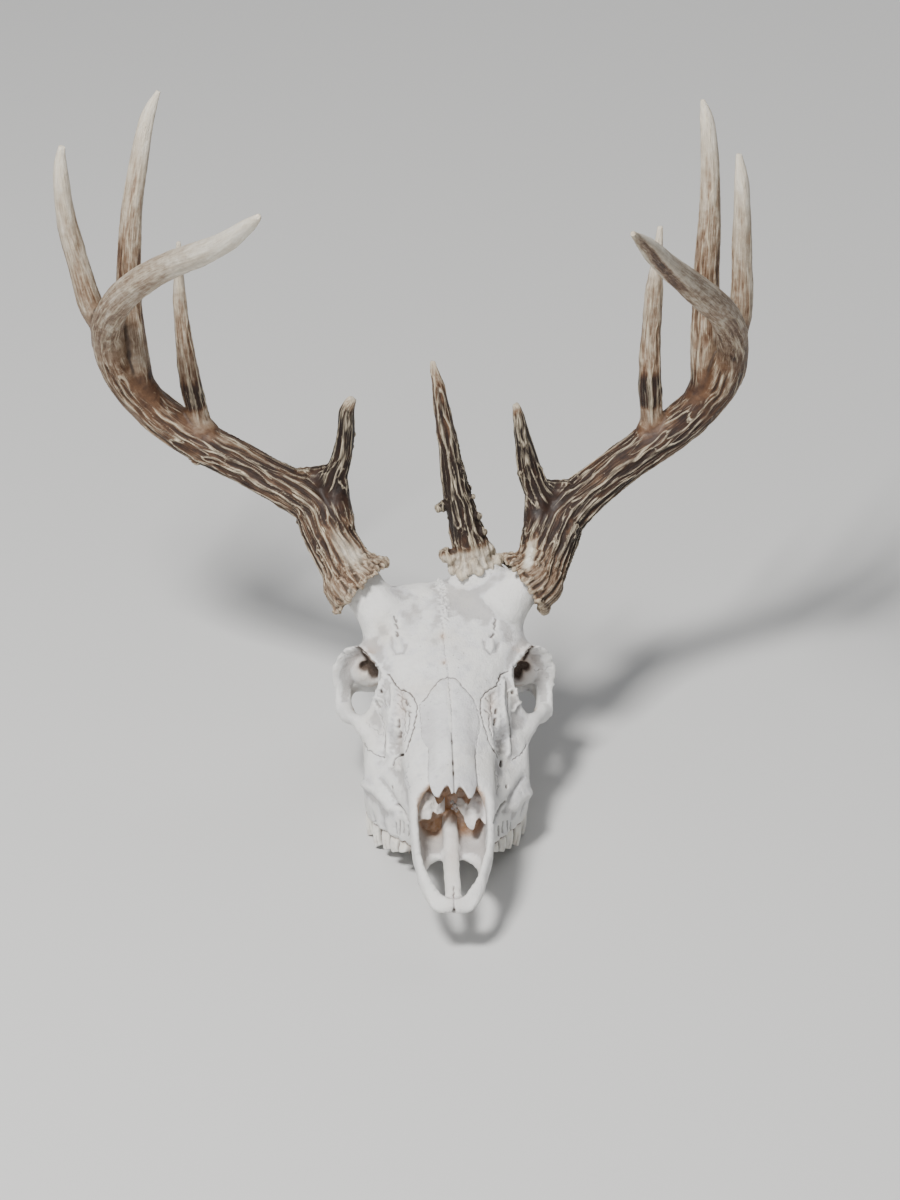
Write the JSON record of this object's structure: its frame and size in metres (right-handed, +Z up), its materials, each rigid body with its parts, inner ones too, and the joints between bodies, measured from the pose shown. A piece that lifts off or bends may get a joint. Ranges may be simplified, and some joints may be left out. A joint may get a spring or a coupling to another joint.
{
  "type": "white-tailed deer skull with antlers",
  "caption": "Bleached deer skull without its lower jaw, with two branching antlers and an extra upright beam between them, resting on its cheek teeth.",
  "frame": {"origin": "middle of the object's box, on the floor that the teeth rest on", "axes": "+X to the animal's left, +Y back from the nose, +Z up; the nose points along -Y"},
  "size_m": [0.3821, 0.2919, 0.3991],
  "materials": {
    "bleached_bone": "matt, dry bleached bone with a little grain",
    "antler_brown": "dull brown antler with pale ridges",
    "antler_pale": "tan antler, polished towards the tips"
  },
  "bodies": {
    "root": {"antler_left_beam_base": "antler_brown", "antler_left_beam_end": "antler_pale", "antler_left_beam_lower": "antler_brown", "antler_left_beam_middle": "antler_pale", "antler_left_beam_upper": "antler_pale", "antler_left_brow_tine": "antler_brown", "antler_left_fourth_tine": "antler_pale", "antler_left_second_tine": "antler_pale", "antler_left_third_tine": "antler_pale", "antler_right_beam_base": "antler_brown", "antler_right_beam_end": "antler_pale", "antler_right_beam_lower": "antler_brown", "antler_right_beam_middle": "antler_pale", "antler_right_beam_upper": "antler_pale", "antler_right_brow_tine": "antler_brown", "antler_right_fourth_tine": "antler_pale", "antler_right_second_tine": "antler_pale", "antler_right_third_tine": "antler_pale", "cranium": "bleached_bone", "extra_beam": "antler_brown"}
  },
  "joints": []
}
